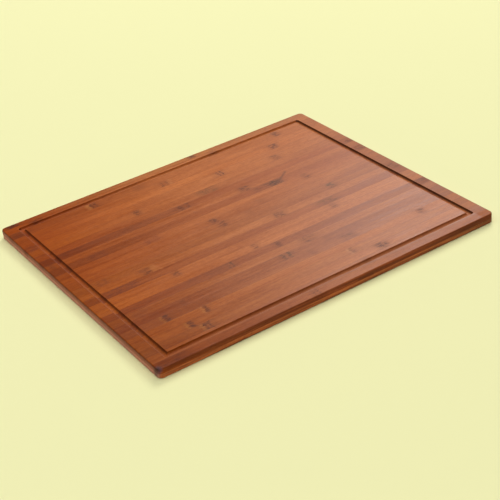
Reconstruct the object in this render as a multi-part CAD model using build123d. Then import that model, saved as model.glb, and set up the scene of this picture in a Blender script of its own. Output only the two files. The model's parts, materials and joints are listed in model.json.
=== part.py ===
from build123d import *
import math
import os

# Laminated bamboo cutting board with a juice groove.
# Frame: +X along the strips (the long side), +Y towards the back long edge, +Z up.
# Origin: centre of the underside. Millimetres.

# --- driving dimensions ---
board_length = 600.0          # along X, along the grain
board_width = 500.0           # along Y
board_thickness = 16.0
top_ply_thickness = 8.0       # the rest of the thickness is the bottom ply

corner_radius = 8.0           # the four corners in plan
edge_radius = 2.0             # round on the top and bottom edges

strip_width = 18.15           # a full bamboo strip
strip_count = 28              # strips in each ply, the trimmed outer ones included
wide_trim = 16.1              # trimmed strip on one long side of a ply

groove_end_margin = 22.0      # from the board's short edges to the groove's outer wall
groove_side_margin = 19.5     # from its long edges
groove_width = 9.0            # between the walls
groove_depth = 4.4
groove_floor_radius = 3.9     # where the walls curve into the groove's floor
lip_radius = 0.4              # sanded lip of the groove

# --- derived ---
narrow_trim = board_width - wide_trim - (strip_count - 2) * strip_width
glue_plane = board_thickness - top_ply_thickness
half_length = board_length / 2
half_width = board_width / 2
overlap = 1.0                 # how far a cutting tool reaches past what it cuts


def ply_blank(bottom, top, rounded_edge):
    """One ply as a single sheet: rounded corners, and a round on its outer face's edge."""
    sheet = extrude(
        RectangleRounded(board_length, board_width, corner_radius),
        amount=top - bottom,
    )
    sheet = Pos(0, 0, bottom) * sheet
    outer_edges = sheet.edges().filter_by_position(Axis.Z, rounded_edge, rounded_edge)
    return fillet(outer_edges, edge_radius)


def groove_half_section():
    """Half of the groove's section: X is the distance from its centre line, Y is height.

    A round-nosed cutter leaves a hollow that is upright only at its lips, and sanding rounds the lips.
    """
    wall = groove_width / 2
    floor = board_thickness - groove_depth
    mouth = wall + lip_radius
    above = board_thickness + overlap
    # The middle of a quarter circle is this share of its radius away from both of its tangents.
    sag = 1 - math.sqrt(0.5)
    floor_corner = ThreePointArc(
        (wall - groove_floor_radius, floor),
        (wall - groove_floor_radius * sag, floor + groove_floor_radius * sag),
        (wall, floor + groove_floor_radius),
    )
    lip = ThreePointArc(
        (wall, board_thickness - lip_radius),
        (wall + lip_radius * sag, board_thickness - lip_radius * sag),
        (mouth, board_thickness),
    )
    rest = Polyline(
        (mouth, board_thickness),
        (mouth, above),
        (0, above),
        (0, floor),
        (wall - groove_floor_radius, floor),
    )
    return make_face([floor_corner, Line(floor_corner @ 1, lip @ 0), lip, rest])


def groove_cutters():
    """The four straight passes of the groove and the quarter turns that round its outer corners."""
    reach_x = half_length - groove_end_margin - groove_width / 2
    reach_y = half_width - groove_side_margin - groove_width / 2
    half_section = groove_half_section()
    section = half_section + mirror(half_section, about=Plane.YZ)
    quarter_turn = revolve(Plane.XZ * half_section, axis=Axis.Z, revolution_arc=90)
    cutters = []
    for side in (-1, 1):
        along_x = Plane(origin=(-reach_x, side * reach_y, 0), x_dir=(0, 1, 0), z_dir=(1, 0, 0))
        along_y = Plane(origin=(side * reach_x, reach_y, 0), x_dir=(1, 0, 0), z_dir=(0, -1, 0))
        cutters.append(extrude(along_x * section, amount=2 * reach_x))
        cutters.append(extrude(along_y * section, amount=2 * reach_y))
    for turn, (side_x, side_y) in enumerate(((1, 1), (-1, 1), (-1, -1), (1, -1))):
        placed = Pos(side_x * reach_x, side_y * reach_y, 0) * Rot(0, 0, 90 * turn) * quarter_turn
        cutters.append(placed)
    return cutters


def strip_edges(back_trim):
    """The Y of every strip's edges, from the back of the board to the front."""
    edges = [half_width, half_width - back_trim]
    for _ in range(strip_count - 2):
        edges.append(edges[-1] - strip_width)
    edges.append(-half_width)
    return edges


def write_strips(ply, name, back_trim):
    """Rips a ply into its strips and writes each one as its own node."""
    edges = strip_edges(back_trim)
    for number, (back, front) in enumerate(zip(edges, edges[1:]), start=1):
        slab = Pos(0, (back + front) / 2, board_thickness / 2) * Box(
            board_length + 2 * overlap, back - front, board_thickness + 2 * overlap
        )
        strip = ply & slab
        label = f"{name}_{number:02d}"
        solids = strip.solids()
        assert len(solids) == 1, f"{label} is {len(solids)} solids"
        export_step(solids[0], f"parts/{label}.step")


os.makedirs("parts", exist_ok=True)

top_ply = ply_blank(glue_plane, board_thickness, board_thickness)
for cutter in groove_cutters():
    top_ply = top_ply - cutter
bottom_ply = ply_blank(0, glue_plane, 0)

# The bottom ply is the same glue-up turned front to back, so the glue lines don't meet.
write_strips(top_ply, "top_strip", narrow_trim)
write_strips(bottom_ply, "bottom_strip", wide_trim)
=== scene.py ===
import json
import math
import random
from collections import namedtuple

import bpy
from mathutils import Matrix, Vector


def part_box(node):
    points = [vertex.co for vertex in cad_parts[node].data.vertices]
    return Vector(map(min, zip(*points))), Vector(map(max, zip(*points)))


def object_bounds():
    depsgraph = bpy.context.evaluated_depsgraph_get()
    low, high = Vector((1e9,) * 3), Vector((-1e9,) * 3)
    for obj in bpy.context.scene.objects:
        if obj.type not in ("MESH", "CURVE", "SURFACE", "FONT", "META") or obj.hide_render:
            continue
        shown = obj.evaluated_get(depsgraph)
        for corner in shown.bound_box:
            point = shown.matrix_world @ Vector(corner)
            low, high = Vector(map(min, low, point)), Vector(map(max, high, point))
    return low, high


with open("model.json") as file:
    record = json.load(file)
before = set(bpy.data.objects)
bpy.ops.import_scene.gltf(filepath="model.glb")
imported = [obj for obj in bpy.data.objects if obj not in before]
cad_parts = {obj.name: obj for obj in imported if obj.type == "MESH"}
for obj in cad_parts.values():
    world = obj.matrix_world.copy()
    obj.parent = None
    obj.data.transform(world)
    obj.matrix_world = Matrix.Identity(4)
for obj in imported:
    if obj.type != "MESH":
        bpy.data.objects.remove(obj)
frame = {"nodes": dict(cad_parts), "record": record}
cad_low, cad_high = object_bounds()

# The objects are in metres, as are the camera, the lights and the floor. The patterns in the wood are in
# millimetres from the middle of the board's underside.
MM = 0.001
METRE_IN_MM = 1000.0
half_length_mm = cad_high.x * METRE_IN_MM
half_width_mm = cad_high.y * METRE_IN_MM
top_mm = cad_high.z * METRE_IN_MM

# ---------------------------------------------------------------- camera
view_azimuth = -31.0        # degrees: 0 is straight in front of the board, and less is to its left
view_elevation = 31.29
view_roll = -6.35
view_distance = 1.891
aim_left = 0.0385           # the point looked at, from the middle of the cutting face
aim_front = 0.0823
lens_mm = 90.4
sensor_mm = 36.0

# ---------------------------------------------------------------- light and floor
floor_size = 30.0
floor_colour = (0.768, 0.753, 0.413)
floor_roughness = 0.9

world_overhead = (2.05, 2.05, 2.05)
world_dark = (0.01, 0.01, 0.01)
world_horizon = (0.85, 0.84, 0.62)
overhead_elevations = (54, 66)      # degrees over which the overhead light comes in
horizon_elevations = (6, 18)        # degrees over which the pale horizon fades out

# Azimuth 0 is behind the board and 90 to its right, in degrees. Power is in watts.
softbox_distance = 7.0
Softbox = namedtuple("Softbox", "name azimuth elevation width height power")
SOFTBOXES = [
    Softbox("key_softbox", 50, 40, 2.5, 2.8, 237),
    Softbox("rear_softbox", -60, 50, 4.7, 3.7, 51),
    Softbox("top_softbox", 60, 60, 4.7, 3.7, 46),
    Softbox("fill_softbox", -120, 45, 4.7, 3.7, 116),
]

# ---------------------------------------------------------------- the marks in the wood
# A mark is a node of the bamboo cane, seen as a band across the strip. Its place and length run along the
# strip, its ends fade over soft, and bars turns the band into two bars. light is a pale patch beside it, on
# its left where that is negative. tint is what the wood's colour is multiplied by.
BROWN = (0.34, 0.28, 0.30)
GREY = (0.44, 0.52, 0.62)
PLUM = (0.60, 0.50, 0.60)
PALE = (1.35, 1.90, 2.80)           # the pale patch's own tint
halo_mm = 14.0                      # how far a faint halo reaches past a mark
halo_strength = 0.22
Mark = namedtuple("Mark", "place length strength soft bars light tint", defaults=(2.5, 0.0, 0.0, BROWN))

# By strip of the cutting face, from the back of the board to the front.
TOP_MARKS = {
    1: [Mark(-281, 18, 1.0, soft=4), Mark(61, 12, 0.8)],
    2: [Mark(-245, 24, 0.5, soft=5), Mark(97, 19, 0.3, soft=4)],
    3: [Mark(-290, 26, 0.35, soft=6), Mark(-150, 13, 0.6, soft=1.5, bars=0.5, light=-1.0),
        Mark(-64, 20, 0.2, soft=6), Mark(216, 13, 0.6, soft=3)],
    4: [Mark(-25, 14, 0.55, bars=0.6, light=0.3)],
    5: [Mark(186, 17, 0.7, soft=3)],
    6: [Mark(-292, 30, 0.7, soft=5, tint=PLUM), Mark(63, 11, 0.9, soft=1.5, bars=0.9)],
    7: [Mark(-109, 12, 0.5, soft=3), Mark(165, 14, 0.6, soft=3)],
    8: [Mark(15, 34, 0.45, soft=6, tint=GREY)],
    9: [Mark(-165, 270, 0.22, soft=2), Mark(-41, 20, 0.5, soft=1.5, bars=0.3), Mark(290, 18, 0.4, soft=4)],
    10: [Mark(-290, 10, 0.3), Mark(62, 20, 0.5, soft=6)],
    11: [Mark(-220, 28, 0.4, soft=5, bars=0.3, tint=PLUM), Mark(112, 22, 0.75, soft=8, tint=GREY),
         Mark(96, 50, 0.3, soft=9), Mark(290, 18, 0.35, soft=4)],
    12: [Mark(-134, 26, 0.5, soft=3, bars=0.3, tint=PLUM), Mark(162, 13, 0.4, soft=3)],
    13: [Mark(-32, 12, 0.55, soft=3), Mark(60, 16, 0.15, soft=5)],
    14: [Mark(-27, 13, 0.5, soft=3), Mark(25, 14, 0.2, soft=4)],
    15: [Mark(-253, 19, 0.4, soft=2, bars=0.5, tint=PLUM), Mark(174, 13, 0.7, soft=3.5, tint=GREY)],
    16: [Mark(-187, 16, 0.5, soft=3, light=0.4), Mark(57, 18, 0.55, soft=4), Mark(288, 15, 0.5, soft=3)],
    17: [Mark(-240, 56, 0.5, soft=6, tint=PLUM), Mark(139, 40, 0.4, soft=9, tint=GREY)],
    18: [Mark(-157, 12, 0.45, soft=3), Mark(135, 12, 0.4, soft=4)],
    19: [Mark(-27, 12, 0.45, soft=4)],
    20: [Mark(-195, 214, 0.2, soft=2), Mark(-84, 11, 0.7, bars=0.8, tint=GREY), Mark(4, 8, 0.5),
         Mark(290, 20, 0.3, soft=6)],
    21: [Mark(-250, 24, 0.35, soft=5, tint=PLUM), Mark(47, 24, 0.45, soft=6)],
    22: [Mark(-190, 9, 0.2), Mark(-7, 17, 0.85, soft=1.5, bars=0.9, tint=GREY), Mark(68, 10, 0.2)],
    23: [Mark(-228, 9, 0.65, soft=1.5, light=-0.7), Mark(28, 10, 0.2), Mark(96, 24, 0.35, soft=5)],
    24: [Mark(-173, 8, 0.55, soft=1.5, light=-0.5), Mark(224, 14, 0.45, soft=4)],
    25: [Mark(-210, 9, 0.65, soft=1.5, light=-0.5), Mark(75, 8, 0.4, soft=2.5, light=-0.4)],
    26: [Mark(-193, 11, 0.85, soft=1.5, bars=0.6, light=-0.5), Mark(116, 20, 0.6, soft=5)],
    27: [Mark(75, 14, 0.3, soft=4)],
    28: [Mark(-268, 50, 0.35, soft=9), Mark(-33, 11, 0.5, soft=2, bars=0.6)],
}
node_step_mm = 340.0                # how far apart the nodes of a cane are, on the strips of the underside

# A stain or scar is a streak between two points that colours every strip it reaches.
Stain = namedtuple("Stain", "start end width soft strength colour")
STAINS = [
    Stain((120, 65, 16), (146, 84, 16), 2.1, 2.2, 0.75, (0.13, 0.035, 0.012)),         # scar
    Stain((-172, -16, 16), (-166, -34, 16), 1.5, 3.0, 0.5, (0.41, 0.13, 0.032)),       # pale smudge
    Stain((37, -250, 10), (62, -250, 9), 1.5, 2.0, 0.7, (0.085, 0.020, 0.006)),        # dent in the front
    Stain((-301, -241, 6), (-298, -246, 14), 5.0, 4.0, 0.95, (0.048, 0.033, 0.042)),   # ink on the corner
]

# ---------------------------------------------------------------- the colours of the wood
# How bright each strip of the cutting face is at its left end and over its right half. 1 is the colour of
# its slot in the record. The rise towards the right is partly painted light, where the key light falls more
# strongly on the right half.
TOP_TONES = {
    1: (0.84, 1.36), 2: (0.92, 1.42), 3: (0.75, 1.20), 4: (0.85, 1.25), 5: (0.90, 1.35),
    6: (0.85, 1.10), 7: (0.80, 1.10), 8: (0.80, 1.10), 9: (0.70, 1.25), 10: (0.80, 1.15),
    11: (0.75, 1.20), 12: (0.90, 1.15), 13: (0.95, 1.10), 14: (0.90, 1.05), 15: (0.92, 0.97),
    16: (0.80, 1.00), 17: (0.92, 1.10), 18: (0.85, 1.05), 19: (0.95, 1.06), 20: (0.95, 1.02),
    21: (0.70, 0.97), 22: (0.80, 1.08), 23: (0.70, 0.96), 24: (0.72, 1.02), 25: (0.68, 0.92),
    26: (0.60, 0.98), 27: (0.88, 1.00), 28: (0.80, 1.25),
}
left_tone_ends = 0.1                # where the left end's colour has gone, as a share of the half length

# Hues multiply a strip's colour: redder at the left end, most of all at the back, and greyer at the right,
# where the grey is partly a painted sheen.
left_hue_back = (1.0, 0.62, 0.05)
left_hue_front = (1.0, 0.75, 0.22)
last_red_strip = 14                 # from here to the front the left end has the front hue
right_hue = (1.0, 1.045, 1.12)
# The strips whose own hues differ.
LEFT_HUES = {
    8: (1.0, 0.65, 0.11), 9: (1.0, 0.62, 0.10), 15: (1.0, 0.83, 0.26),
    17: (1.0, 0.79, 0.21), 19: (1.0, 0.80, 0.24), 27: (1.0, 0.83, 0.27),
}
RIGHT_HUES = {
    1: (0.96, 1.18, 1.40), 2: (0.98, 1.12, 1.25), 3: (1.0, 1.06, 1.10), 4: (1.0, 1.07, 1.12),
    5: (1.0, 1.08, 1.12), 22: (1.0, 1.10, 1.20), 27: (1.0, 1.12, 1.50), 28: (1.0, 1.10, 1.10),
}

# The long sides multiply a strip's colour by a side tone, which offsets much of the painted light in the
# top tones and hues. An end tone, the end grain's colour with a painted sheen, is mixed into the end grain.
top_left_side_tone = (1.62, 1.64, 3.00)
top_right_side_tone = (0.88, 0.65, 0.85)
top_end_tone = (0.36, 0.11, 0.085)
bottom_side_tone = (1.54, 1.41, 1.75)
bottom_end_tone = (0.54, 0.23, 0.20)
front_bottom_strip = 28             # the strip of the underside whose side shows along the front
front_bottom_tones = (0.84, 0.78)

grain_dark = (0.80, 0.70, 0.62)     # what the grain multiplies a strip's colour by, from its darkest
grain_light = (1.20, 1.28, 1.36)    # to its lightest
border_tint = (0.90, 0.89, 0.86)    # the same for the border outside the groove
end_low_tint = (1.07, 1.08, 1.12)   # and for the end grain, low down
end_high_tint = (0.44, 0.29, 0.17)  # and under the top edge
pore_colour = (0.05, 0.015, 0.006)
end_pore_colour = (0.06, 0.02, 0.01)
seam_colour = (0.04, 0.012, 0.005)
# The next two are painted shade on the rounded edges and a painted highlight on the groove's outer lip.
rim_shade_colour = (0.05, 0.012, 0.005)
lip_highlight_colour = (0.55, 0.24, 0.10)
# The next colour is painted shade, with some scorch, on the groove's walls.
groove_shade_and_scorch_colour = (0.040, 0.008, 0.002)

# ---------------------------------------------------------------- the varnish and the groove
varnish_ior = 1.30
WORN_IOR = {24: 1.26, 25: 1.26, 26: 1.26, 27: 1.27, 28: 1.22}      # by strip, where handling has dulled it
smoothest = 0.31                    # the varnish's roughness runs between these with the streaks
dullest = 0.41
groove_end_margin_mm = 22.0         # from the board's short edges to the groove's outer wall
groove_side_margin_mm = 19.5        # from its long edges

# What each pattern of the wood mostly lies between, of its whole 0 to 1.
fibres_span = (0.35, 0.65)
streaks_span = (0.35, 0.65)
patches_span = (0.35, 0.60)
mottle_span = (0.40, 0.58)
drift_span = (0.45, 0.62)
grain_shift_mm = (4000, 400, 400)   # how far the grain of one strip may be shifted from that of another
grain_seed = 28


class Graph:
    """Adds nodes to a node tree. Each input is a number, a tuple or another node's output."""

    def __init__(self, tree):
        self.tree = tree

    def add(self, kind, inputs=(), **settings):
        node = self.tree.nodes.new(kind)
        for name, value in settings.items():
            setattr(node, name, value)
        for key, value in dict(inputs).items():
            self.join(value, node.inputs[key])
        return node

    def join(self, value, socket):
        if isinstance(value, bpy.types.NodeSocket):
            self.tree.links.new(value, socket)
        else:
            socket.default_value = value

    def math(self, operation, a, b=0.0, clamp=False):
        return self.add("ShaderNodeMath", {0: a, 1: b}, operation=operation, use_clamp=clamp).outputs[0]

    def plus(self, a, b):
        return self.math("ADD", a, b)

    def minus(self, a, b):
        return self.math("SUBTRACT", a, b)

    def absolute(self, value):
        return self.math("ABSOLUTE", value)

    def product(self, first, *others):
        for other in others:
            first = self.math("MULTIPLY", first, other)
        return first

    def vector(self, operation, a, b):
        return self.add("ShaderNodeVectorMath", {0: a, 1: b}, operation=operation).outputs[0]

    def ramp(self, value, low, high, start=0.0, end=1.0):
        """value taken from low..high to start..end, with soft ends."""
        limits = {0: value, 1: low, 2: high, 3: start, 4: end}
        return self.add("ShaderNodeMapRange", limits, interpolation_type="SMOOTHSTEP").outputs[0]

    def noise(self, place, detail, roughness):
        inputs = {"Vector": place, "Scale": 1.0, "Detail": detail, "Roughness": roughness}
        return self.add("ShaderNodeTexNoise", inputs).outputs[0]

    def grey(self, value):
        """A colour with that value in each channel."""
        return self.add("ShaderNodeCombineColor", {0: value, 1: value, 2: value}).outputs[0]

    def mix(self, share, a, b, blend="MIX"):
        """Colour a with a share of colour b."""
        node = self.add("ShaderNodeMix", data_type="RGBA", blend_type=blend)
        self.join(share, node.inputs["Factor"])
        self.join(a, node.inputs["A"])
        self.join(b, node.inputs["B"])
        return node.outputs["Result"]

    def tinted(self, colour, tint):
        """The colour times the tint, channel by channel."""
        return self.mix(1.0, colour, tint, "MULTIPLY")


def opaque(colour):
    return (*colour, 1.0)


def new_material(name):
    material = bpy.data.materials.new(name)
    material.use_nodes = True
    material.node_tree.nodes.clear()
    return material, Graph(material.node_tree)


# ---------------------------------------------------------------- the studio
def make_camera():
    turn = math.radians(view_azimuth)
    rise = math.radians(view_elevation)
    back = Vector((math.sin(turn) * math.cos(rise), -math.cos(turn) * math.cos(rise), math.sin(rise)))
    aim = Vector((-aim_left, -aim_front, cad_high.z))
    data = bpy.data.cameras.new("camera")
    data.lens = lens_mm
    data.sensor_width = sensor_mm
    data.clip_start = 0.05
    data.clip_end = 100.0
    camera = bpy.data.objects.new("camera", data)
    place = Matrix.Translation(aim + back * view_distance)
    facing = (-back).to_track_quat("-Z", "Y").to_matrix().to_4x4()
    roll = Matrix.Rotation(math.radians(view_roll), 4, "Z")
    camera.matrix_world = place @ facing @ roll
    bpy.context.scene.collection.objects.link(camera)
    bpy.context.scene.camera = camera


def make_world():
    """Soft light from all round: bright overhead, dark at the height of the camera, pale at the horizon."""
    world = bpy.data.worlds.new("studio")
    world.use_nodes = True
    world.node_tree.nodes.clear()
    graph = Graph(world.node_tree)
    direction = graph.add("ShaderNodeTexCoord").outputs["Generated"]
    height = graph.add("ShaderNodeSeparateXYZ", {0: direction}).outputs[2]
    overhead_low, overhead_high = (math.sin(math.radians(angle)) for angle in overhead_elevations)
    horizon_low, horizon_high = (math.sin(math.radians(angle)) for angle in horizon_elevations)
    overhead = graph.ramp(height, overhead_low, overhead_high)
    horizon = graph.ramp(height, horizon_low, horizon_high, 1.0, 0.0)
    colour = graph.mix(overhead, opaque(world_dark), opaque(world_overhead))
    colour = graph.mix(horizon, colour, opaque(world_horizon))
    background = graph.add("ShaderNodeBackground", {"Color": colour, "Strength": 1.0})
    output = graph.add("ShaderNodeOutputWorld")
    graph.join(background.outputs[0], output.inputs[0])
    bpy.context.scene.world = world


def make_softbox(softbox):
    """A rectangle of light that faces the middle of the board."""
    turn = math.radians(softbox.azimuth)
    rise = math.radians(softbox.elevation)
    outward = Vector((math.sin(turn) * math.cos(rise), math.cos(turn) * math.cos(rise), math.sin(rise)))
    data = bpy.data.lights.new(softbox.name, "AREA")
    data.shape = "RECTANGLE"
    data.size = softbox.width
    data.size_y = softbox.height
    data.energy = softbox.power
    lamp = bpy.data.objects.new(softbox.name, data)
    lamp.location = outward * softbox_distance
    lamp.rotation_mode = "QUATERNION"
    lamp.rotation_quaternion = outward.to_track_quat("Z", "Y")
    bpy.context.scene.collection.objects.link(lamp)


def make_lights():
    make_world()
    for softbox in SOFTBOXES:
        make_softbox(softbox)


def make_floor():
    mesh = bpy.data.meshes.new("floor")
    half = floor_size / 2
    corners = [(-half, -half, 0), (half, -half, 0), (half, half, 0), (-half, half, 0)]
    mesh.from_pydata(corners, [], [(0, 1, 2, 3)])
    floor = bpy.data.objects.new("floor", mesh)
    floor.location.z = cad_low.z
    bpy.context.scene.collection.objects.link(floor)
    material, graph = new_material("floor_paper")
    surface = graph.add("ShaderNodeBsdfPrincipled", {
        "Base Color": opaque(floor_colour), "Roughness": floor_roughness, "Specular IOR Level": 0.0,
    })
    output = graph.add("ShaderNodeOutputMaterial")
    graph.join(surface.outputs[0], output.inputs[0])
    mesh.materials.append(material)


# ---------------------------------------------------------------- the wood's node groups
def new_group(name, inputs, outputs):
    """A node group with those sockets: its graph, what it is given and what it gives back."""
    tree = bpy.data.node_groups.new(name, "ShaderNodeTree")
    for side, sockets in (("INPUT", inputs), ("OUTPUT", outputs)):
        for socket, kind in sockets.items():
            tree.interface.new_socket(socket, in_out=side, socket_type="NodeSocket" + kind)
    graph = Graph(tree)
    given = graph.add("NodeGroupInput").outputs
    result = graph.add("NodeGroupOutput").inputs
    return graph, given, result


def give_back(graph, result, values):
    for name, value in values.items():
        graph.join(value, result[name])
    return graph.tree


def use_group(graph, tree, inputs):
    node = graph.add("ShaderNodeGroup", node_tree=tree)
    for name, value in inputs.items():
        graph.join(value, node.inputs[name])
    return node.outputs


def make_grain_group():
    """The fields that every part of the wood is drawn from, and the colour of clear wood."""
    graph, given, result = new_group(
        "bamboo_grain",
        {"Shift": "Vector", "Middle": "Float", "Half width": "Float", "Left colour": "Color",
         "Right colour": "Color"},
        {"Place": "Vector", "Along": "Float", "Across": "Float", "Fibres": "Float", "Streaks": "Float",
         "Patches": "Float", "Mottle": "Float", "Pores": "Float", "Drift": "Float", "Colour": "Color"},
    )
    metres = graph.add("ShaderNodeTexCoord").outputs["Object"]
    place = graph.vector("MULTIPLY", metres, (METRE_IN_MM,) * 3)
    moved = graph.vector("ADD", place, given["Shift"])

    def field(along, across, detail=2.0, roughness=0.5, source=moved):
        """Noise by how finely it changes along the strip and across it, per millimetre."""
        stretched = graph.vector("MULTIPLY", source, (along, across, across))
        return graph.noise(stretched, detail, roughness)

    def centred(value, spread):
        return graph.product(graph.minus(value, 0.5), spread)

    # The fibres, the streaks and the pores waver a little instead of running dead straight.
    waver = centred(field(0.008, 0.03), 5.0)
    bent = graph.vector("ADD", moved, graph.add("ShaderNodeCombineXYZ", {1: waver, 2: waver}).outputs[0])
    fibres = field(0.045, 1.7, 2.0, 0.6, bent)
    streaks = field(0.011, 0.34, 3.0, 0.5, bent)
    drift = field(0.006, 0.05)
    patches = field(0.05, 0.10)
    mottle = field(0.15, 0.30)
    pores = graph.ramp(field(0.10, 2.6, 1.0, 0.5, bent), 0.60, 0.76)

    # Along is the place along the strip, made ragged. Across runs from 0 at its middle to 1 at its seams.
    wander = graph.plus(centred(field(0.02, 0.16), 9.0), centred(field(0.06, 1.1), 10.0))
    x, y, _ = graph.add("ShaderNodeSeparateXYZ", {0: place}).outputs
    along = graph.plus(x, wander)
    from_middle = graph.absolute(graph.minus(y, given["Middle"]))
    across = graph.math("DIVIDE", from_middle, given["Half width"])

    shade = 0.0
    for value, spread in ((drift, 1.25), (streaks, 1.3), (fibres, 1.2), (mottle, 1.0)):
        shade = graph.plus(shade, centred(value, spread))
    shade = graph.math("ADD", shade, 0.5, clamp=True)
    grain_tint = graph.mix(shade, opaque(grain_dark), opaque(grain_light))
    # From left to right the colour takes on the painted light and painted sheen of the top tones and hues.
    left_to_right = graph.ramp(x, -half_length_mm, left_tone_ends * half_length_mm)
    colour = graph.mix(left_to_right, given["Left colour"], given["Right colour"])
    colour = graph.tinted(colour, grain_tint)
    colour = graph.mix(graph.product(pores, 0.35), colour, opaque(pore_colour))

    return give_back(graph, result, {
        "Place": place, "Along": along, "Across": across, "Fibres": fibres, "Streaks": streaks,
        "Patches": patches, "Mottle": mottle, "Pores": pores, "Drift": drift, "Colour": colour,
    })


def make_mark_group():
    """One mark over the strip's colour. Dark is the darkest mark so far, from 0 for clear wood to 1."""
    graph, given, result = new_group(
        "node_mark",
        {"Colour": "Color", "Dark": "Float", "Along": "Float", "Across": "Float", "Fibres": "Float",
         "Patches": "Float", "Mottle": "Float", "Middle": "Float", "Length": "Float", "Strength": "Float",
         "Soft": "Float", "Bars": "Float", "Light": "Float", "Tint": "Color"},
        {"Colour": "Color", "Dark": "Float"},
    )

    def of_length(share):
        return graph.product(given["Length"], share)

    offset = graph.minus(given["Along"], given["Middle"])
    reach = graph.absolute(offset)
    half = of_length(0.5)

    inner = graph.minus(of_length(0.4), given["Soft"])
    outer = graph.plus(of_length(0.6), given["Soft"])
    band = graph.ramp(reach, inner, outer, 1.0, 0.0)
    from_bar = graph.absolute(graph.minus(reach, of_length(0.32)))
    bars = graph.ramp(from_bar, of_length(0.06), of_length(0.24), 1.0, 0.0)
    pattern = graph.add("ShaderNodeMix", {0: given["Bars"], 2: band, 3: bars}).outputs[0]

    # The mark is blotchy, streaked by the fibres and fainter where it nears the seams.
    to_seams = graph.plus(given["Across"], graph.minus(given["Patches"], 0.5))
    uneven = graph.product(
        graph.ramp(given["Patches"], *patches_span, 0.8, 1.4),
        graph.ramp(given["Fibres"], *fibres_span, 1.25, 0.6),
        graph.ramp(given["Mottle"], *mottle_span, 0.50, 1.35),
        graph.ramp(to_seams, 0.6, 1.1, 1.0, 0.55),
    )
    core = graph.product(pattern, uneven)
    halo = graph.ramp(reach, half, graph.plus(half, halo_mm), halo_strength, 0.0)
    dark = graph.math("MULTIPLY", graph.math("MAXIMUM", core, halo), given["Strength"], clamp=True)

    side = graph.math("SIGN", given["Light"])
    from_patch = graph.absolute(graph.minus(offset, graph.product(side, of_length(0.75))))
    patch = graph.product(
        graph.ramp(from_patch, 0.0, half, 1.0, 0.0),
        graph.absolute(given["Light"]),
        graph.ramp(given["Mottle"], *mottle_span, 1.3, 0.8),
    )

    darker = graph.tinted(given["Colour"], given["Tint"])
    lighter = graph.tinted(given["Colour"], opaque(PALE))
    colour = graph.mix(patch, given["Colour"], lighter)
    colour = graph.mix(dark, colour, darker)
    return give_back(graph, result, {"Colour": colour, "Dark": graph.math("MAXIMUM", given["Dark"], dark)})


def make_stain_group():
    """One stain over the colour of the strip, by the distance from the line between its two points."""
    graph, given, result = new_group(
        "stain",
        {"Colour": "Color", "Dark": "Float", "Place": "Vector", "Fibres": "Float", "Patches": "Float",
         "Start": "Vector", "Run": "Vector", "Width": "Float", "Soft": "Float", "Strength": "Float",
         "Stain colour": "Color"},
        {"Colour": "Color", "Dark": "Float"},
    )

    def dot(a, b):
        return graph.add("ShaderNodeVectorMath", {0: a, 1: b}, operation="DOT_PRODUCT").outputs["Value"]

    from_start = graph.vector("SUBTRACT", given["Place"], given["Start"])
    share = graph.math("DIVIDE", dot(from_start, given["Run"]), dot(given["Run"], given["Run"]), clamp=True)
    shares = graph.add("ShaderNodeCombineXYZ", {0: share, 1: share, 2: share}).outputs[0]
    away = graph.vector("SUBTRACT", from_start, graph.vector("MULTIPLY", given["Run"], shares))
    ragged = graph.product(graph.minus(given["Patches"], 0.5), given["Width"])
    distance = graph.plus(graph.math("SQRT", dot(away, away)), ragged)
    inner = graph.minus(given["Width"], given["Soft"])
    outer = graph.plus(given["Width"], given["Soft"])
    stain = graph.product(
        graph.ramp(distance, inner, outer, 1.0, 0.0),
        graph.ramp(given["Fibres"], 0.3, 0.7, 1.0, 0.7),
        given["Strength"],
    )
    colour = graph.mix(stain, given["Colour"], given["Stain colour"])
    return give_back(graph, result, {"Colour": colour, "Dark": graph.math("MAXIMUM", given["Dark"], stain)})


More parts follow.
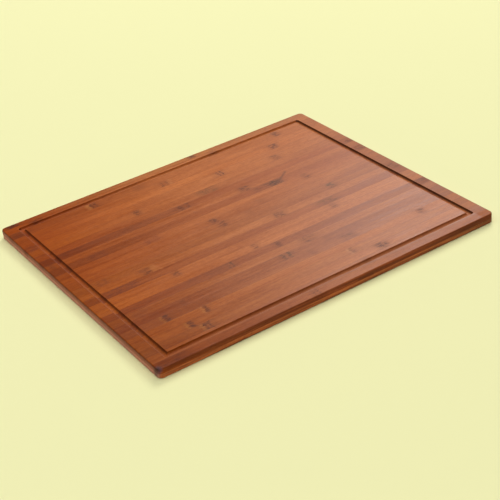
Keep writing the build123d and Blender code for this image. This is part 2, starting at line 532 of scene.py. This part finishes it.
def make_finish_group():
    """The border, sides, ends, seams and groove, and the varnish, over a strip's colour."""
    graph, given, result = new_group(
        "bamboo_finish",
        {"Colour": "Color", "Dark": "Float", "Place": "Vector", "Fibres": "Float", "Streaks": "Float",
         "Patches": "Float", "Pores": "Float", "Drift": "Float", "Across": "Float", "Half width": "Float",
         "Left side tone": "Color", "Right side tone": "Color", "End tone": "Color"},
        {"Colour": "Color", "Roughness": "Float", "Height": "Float"},
    )
    x, y, z = graph.add("ShaderNodeSeparateXYZ", {0: given["Place"]}).outputs
    normal = graph.add("ShaderNodeNewGeometry").outputs["Normal"]
    faces_end, faces_side, faces_up = (
        graph.absolute(part) for part in graph.add("ShaderNodeSeparateXYZ", {0: normal}).outputs)

    # How far past the groove's outer wall, towards the edge of the board. It is negative inside.
    end_wall = half_length_mm - groove_end_margin_mm
    side_wall = half_width_mm - groove_side_margin_mm
    past_end_wall = graph.minus(graph.absolute(x), end_wall)
    past_side_wall = graph.minus(graph.absolute(y), side_wall)
    past_wall = graph.math("MAXIMUM", past_end_wall, past_side_wall)

    # Each of these is 1 on one part of the board and 0 off it.
    flat_face = graph.ramp(faces_up, 0.75, 0.97)
    below_face = graph.ramp(z, top_mm - 0.5, top_mm - 0.05, 1.0, 0.0)
    in_top_ply = graph.ramp(z, top_mm / 2, top_mm / 2 + 1)
    inside = graph.ramp(past_wall, 2.0, 6.0, 1.0, 0.0)
    outside = graph.minus(1.0, inside)
    groove = graph.product(inside, graph.product(below_face, in_top_ply))
    end_face = graph.product(outside, graph.ramp(faces_end, 0.55, 0.9))
    side_face = graph.product(outside, graph.ramp(faces_side, 0.35, 0.9))
    wall = graph.math("MAXIMUM", side_face, end_face)
    border = graph.ramp(past_wall, -1.0, 1.0)
    right_border = graph.ramp(x, end_wall - 1, end_wall + 1)

    # Painted shade, with some scorch from the cutter, darkens the groove's walls where they cross the
    # grain, most of all at the right, where the key light leaves them in shade.
    steep = graph.ramp(faces_up, 0.6, 0.99, 1.0, 0.0)
    crosses_grain = graph.ramp(faces_end, 0.1, 0.4)
    to_right = graph.ramp(x, 0.0, end_wall, 0.6, 0.85)
    groove_shade_and_scorch = graph.product(steep, crosses_grain, to_right, groove)
    # A painted highlight makes the groove's outer lip pale and painted shade makes the board's rounded
    # edges dark, both in patches.
    from_lip = graph.absolute(graph.minus(past_wall, 0.6))
    lip_highlight = graph.product(
        graph.ramp(from_lip, 0.3, 1.0, 1.0, 0.0),
        flat_face,
        graph.ramp(given["Patches"], *patches_span, 0.0, 0.06),
    )
    rim_shade = graph.product(
        outside,
        graph.minus(1.0, flat_face),
        graph.minus(1.0, wall),
        graph.ramp(given["Patches"], *patches_span, 0.25, 0.75),
        graph.minus(1.0, given["Dark"]),
    )
    # The seams between strips come and go along the board.
    to_seam = graph.product(graph.minus(1.0, given["Across"]), given["Half width"])
    seam = graph.product(graph.ramp(to_seam, 0.05, 0.5, 1.0, 0.0), flat_face)
    seam_strength = graph.ramp(given["Drift"], *drift_span, 0.10, 0.50)

    colour = graph.mix(border, given["Colour"], graph.tinted(given["Colour"], opaque(border_tint)))
    # The long sides are darkest under the top edge and along the bottom edge, and painted shade darkens
    # them towards the right.
    side_shade = graph.product(
        graph.ramp(z, 0.5, 4.5, 0.90, 1.0),
        graph.ramp(z, top_mm / 2, top_mm - 3.5, 1.0, 0.78),
        graph.ramp(x, half_length_mm / 3, half_length_mm * 0.9, 1.0, 0.66),
        graph.ramp(given["Streaks"], *streaks_span, 0.75, 1.25),
    )
    # The side tone offsets much of the painted light of the top tones and hues.
    left_to_middle = graph.ramp(x, -half_length_mm, 0)
    side_tone = graph.mix(left_to_middle, given["Left side tone"], given["Right side tone"])
    sides = graph.tinted(graph.tinted(colour, side_tone), graph.grey(side_shade))
    colour = graph.mix(side_face, colour, sides)
    # The ends show end grain, dark under the top edge and dotted with pores, with the end tone's painted
    # sheen mixed in. Marks keep more of their own colour there.
    ends = graph.mix(graph.ramp(given["Dark"], 0.0, 1.0, 0.5, 0.1), colour, given["End tone"])
    near_top = graph.ramp(z, top_mm / 2 + 1, top_mm - 0.5)
    ends = graph.tinted(ends, graph.mix(near_top, opaque(end_low_tint), opaque(end_high_tint)))
    ends = graph.mix(graph.product(given["Pores"], 0.5), ends, opaque(end_pore_colour))
    colour = graph.mix(end_face, colour, ends)
    # The lip's painted highlight, the seams and the rounded edges' painted shade go over the colour.
    colour = graph.mix(lip_highlight, colour, opaque(lip_highlight_colour))
    colour = graph.mix(graph.product(seam, seam_strength), colour, opaque(seam_colour))
    colour = graph.mix(rim_shade, colour, opaque(rim_shade_colour))
    # Painted shade, with some scorch, on the groove's walls.
    colour = graph.mix(groove_shade_and_scorch, colour, opaque(groove_shade_and_scorch_colour))

    # How much rougher the varnish is on some parts, and how far in millimetres each pattern stands up.
    roughness = graph.ramp(given["Streaks"], 0.3, 0.7, smoothest, dullest)
    for part, more in ((given["Dark"], 0.08), (wall, 0.12), (groove, 0.20), (right_border, 0.14)):
        roughness = graph.plus(roughness, graph.product(part, more))
    height = 0.0
    for pattern, rise in ((given["Fibres"], 0.015), (given["Streaks"], 0.03), (given["Patches"], 0.05),
                          (given["Pores"], -0.02), (seam, -0.03), (given["Dark"], 0.03)):
        height = graph.plus(height, graph.product(pattern, rise))
    return give_back(graph, result, {"Colour": colour, "Roughness": roughness, "Height": height})


# ---------------------------------------------------------------- the look of each strip
Look = namedtuple("Look", "left right left_side right_side end ior marks")


def scaled(colour, tone, hue=(1.0, 1.0, 1.0)):
    return opaque(channel * tone * share for channel, share in zip(colour, hue))


def stains_on(low, high):
    """The stains that reach the box between two corners."""
    for stain in STAINS:
        reach = (stain.width * 1.5 + stain.soft) * MM
        spans = zip(low, high, stain.start, stain.end)
        if all(min(a, b) * MM - reach < top and max(a, b) * MM + reach > bottom
               for bottom, top, a, b in spans):
            yield stain


def random_marks(rng):
    """Marks for a strip of the underside: a cane's nodes, about evenly spaced from a random start."""
    marks = []
    place = rng.uniform(-half_length_mm, -half_length_mm + node_step_mm)
    while place < half_length_mm:
        marks.append(Mark(
            place=place,
            length=rng.uniform(9, 20),
            strength=rng.uniform(0.3, 0.8),
            soft=rng.uniform(1.5, 5),
            bars=rng.choice((0, 0, 0.5, 0.9)),
            light=rng.choice((0, 0, -0.4)),
            tint=rng.choice((BROWN, BROWN, GREY, PLUM)),
        ))
        place += rng.uniform(0.8, 1.1) * node_step_mm
    return marks


def top_look(number, colour):
    """How a strip of the cutting face looks."""
    left, right = TOP_TONES[number]
    forward = min(number / last_red_strip, 1.0)
    left_hue = LEFT_HUES.get(number, Vector(left_hue_back).lerp(Vector(left_hue_front), forward))
    return Look(
        left=scaled(colour, left, left_hue),
        right=scaled(colour, right, RIGHT_HUES.get(number, right_hue)),
        left_side=top_left_side_tone,
        right_side=top_right_side_tone,
        end=top_end_tone,
        ior=WORN_IOR.get(number, varnish_ior),
        marks=TOP_MARKS[number],
    )


def bottom_look(number, colour, rng):
    """How a strip of the underside looks."""
    left = rng.uniform(0.85, 1.1)
    right = left * rng.uniform(0.9, 1.1)
    marks = random_marks(rng)
    if number == front_bottom_strip:
        left, right = front_bottom_tones
    return Look(
        left=scaled(colour, left),
        right=scaled(colour, right),
        left_side=bottom_side_tone,
        right_side=bottom_side_tone,
        end=bottom_end_tone,
        ior=varnish_ior,
        marks=marks,
    )


def strip_material(name, look, shift, groups):
    """The varnished bamboo of one strip."""
    low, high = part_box(name)
    half_width = (high.y - low.y) / 2 * METRE_IN_MM
    material, graph = new_material(name + "_bamboo")
    grain = use_group(graph, groups["grain"], {
        "Shift": shift,
        "Middle": (low.y + high.y) / 2 * METRE_IN_MM,
        "Half width": half_width,
        "Left colour": look.left,
        "Right colour": look.right,
    })
    coloured = grain["Colour"]
    dark = 0.0
    for mark in look.marks:
        marked = use_group(graph, groups["mark"], {
            "Colour": coloured, "Dark": dark, "Along": grain["Along"], "Across": grain["Across"],
            "Fibres": grain["Fibres"], "Patches": grain["Patches"], "Mottle": grain["Mottle"],
            "Middle": mark.place, "Length": mark.length, "Strength": mark.strength, "Soft": mark.soft,
            "Bars": mark.bars, "Light": mark.light, "Tint": opaque(mark.tint),
        })
        coloured = marked["Colour"]
        dark = marked["Dark"]
    for stain in stains_on(low, high):
        run = Vector(stain.end) - Vector(stain.start)
        stained = use_group(graph, groups["stain"], {
            "Colour": coloured, "Dark": dark, "Place": grain["Place"],
            "Fibres": grain["Fibres"], "Patches": grain["Patches"],
            "Start": stain.start, "Run": run, "Width": stain.width, "Soft": stain.soft,
            "Strength": stain.strength, "Stain colour": opaque(stain.colour),
        })
        coloured = stained["Colour"]
        dark = stained["Dark"]
    finish = use_group(graph, groups["finish"], {
        "Colour": coloured, "Dark": dark, "Place": grain["Place"],
        "Fibres": grain["Fibres"], "Streaks": grain["Streaks"], "Patches": grain["Patches"],
        "Pores": grain["Pores"], "Drift": grain["Drift"],
        "Across": grain["Across"], "Half width": half_width,
        "Left side tone": opaque(look.left_side),
        "Right side tone": opaque(look.right_side),
        "End tone": opaque(look.end),
    })
    bump = graph.add("ShaderNodeBump", {"Strength": 1.0, "Distance": MM, "Height": finish["Height"]})
    surface = graph.add("ShaderNodeBsdfPrincipled", {
        "Base Color": finish["Colour"], "Roughness": finish["Roughness"], "Normal": bump.outputs[0],
        "IOR": look.ior,
    })
    output = graph.add("ShaderNodeOutputMaterial")
    graph.join(surface.outputs[0], output.inputs[0])
    return material


def dress_board():
    """Gives each strip a material of its own."""
    slot_colours = {m["slot"]: m["base_color"] for m in frame["record"]["materials"]}
    groups = {
        "grain": make_grain_group(),
        "mark": make_mark_group(),
        "stain": make_stain_group(),
        "finish": make_finish_group(),
    }
    rng = random.Random(grain_seed)
    for name in sorted(frame["nodes"]):
        slot = frame["nodes"][name].material_slots[0]
        ply, number = name.split("_strip_")
        number = int(number)
        shift = [rng.uniform(0, most) for most in grain_shift_mm]
        colour = slot_colours[slot.material.name]
        look = top_look(number, colour) if ply == "top" else bottom_look(number, colour, rng)
        slot.material = strip_material(name, look, shift, groups)


make_camera()
make_lights()
make_floor()
dress_board()
bpy.context.scene.view_settings.view_transform = "Standard"
